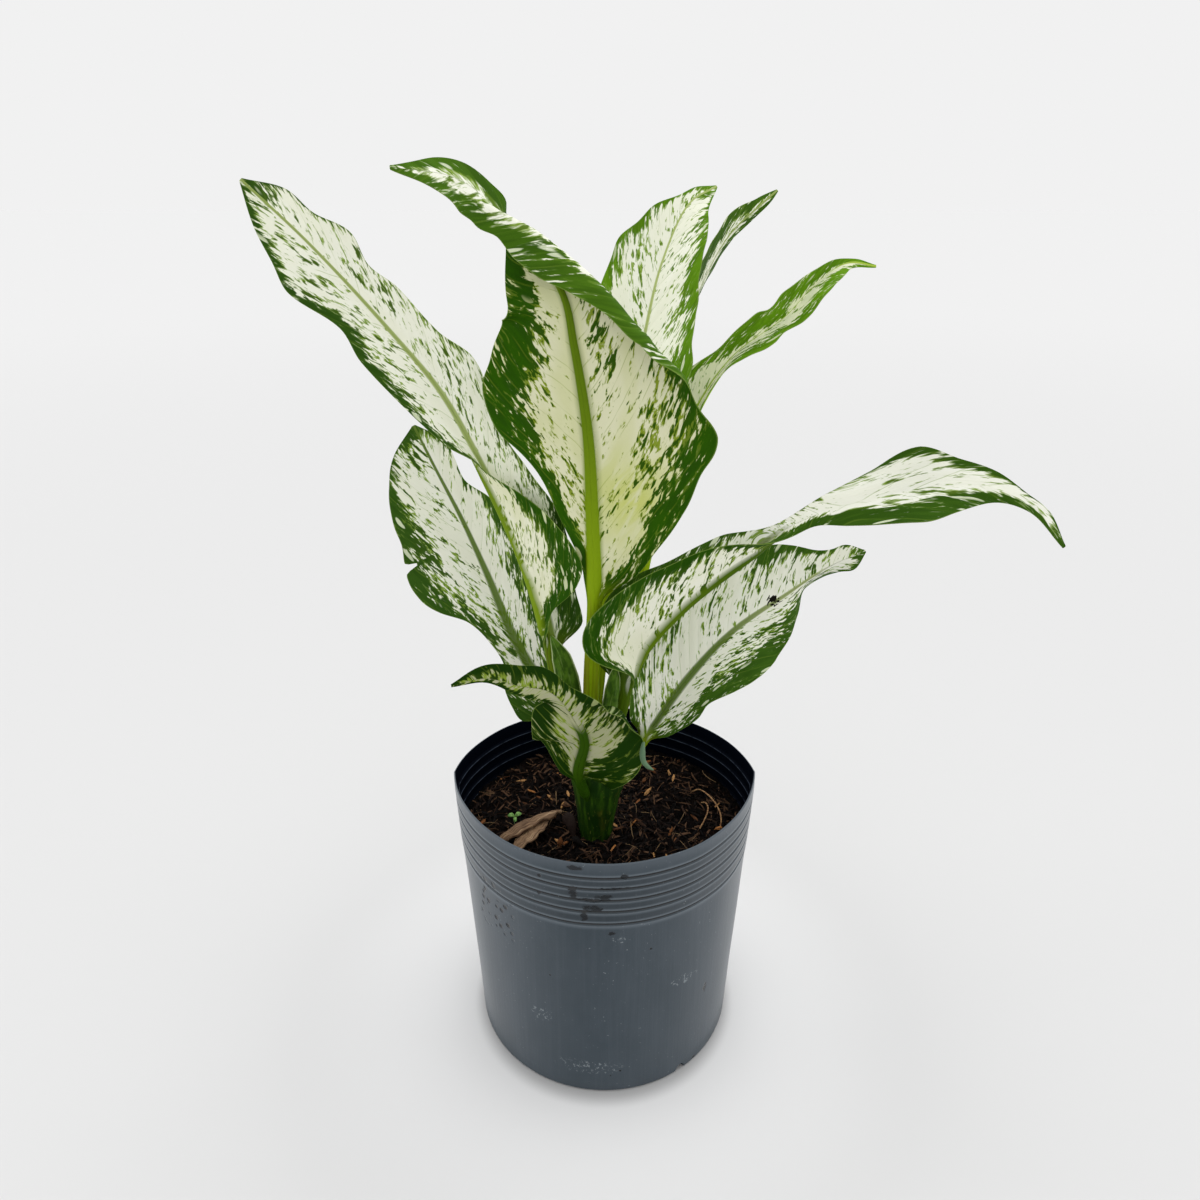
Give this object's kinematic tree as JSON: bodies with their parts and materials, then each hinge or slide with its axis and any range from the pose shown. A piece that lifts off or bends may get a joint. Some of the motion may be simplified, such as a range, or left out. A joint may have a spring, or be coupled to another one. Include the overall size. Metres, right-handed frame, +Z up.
{
  "type": "potted plant",
  "caption": "Young dieffenbachia with large variegated leaves on one thick stalk, standing in a soft, ribbed nursery pot of bark soil.",
  "frame": {"origin": "middle of the underside of the pot, on the surface it stands on", "axes": "+Z up, +X towards the creased right side of the pot and -Y towards the front, where the wood chip lies front left"},
  "size_m": [0.3593, 0.2246, 0.5498],
  "materials": {
    "pot": "satin, slate grey-blue, scuffed",
    "soil": "moist bark and fibre mix",
    "wood_chip": "raw, weathered",
    "stalk": "smooth, green, satin",
    "leaf_upper": "satin, cream with green margin and flecks",
    "leaf_under": "satin, pale cream-yellow with green margin"
  },
  "bodies": {
    "root": {"pot": "pot", "soil": "soil", "wood_chip": "wood_chip", "stalk": "stalk", "leaf_left_tall": "leaf_upper", "leaf_centre": "leaf_under", "leaf_lower_left": "leaf_upper", "leaf_upper_middle": "leaf_upper", "leaf_behind_right": "leaf_upper", "leaf_upper_right": "leaf_upper", "leaf_right_long": "leaf_upper", "leaf_lower_right": "leaf_upper", "leaf_front_small": "leaf_under"}
  },
  "joints": []
}
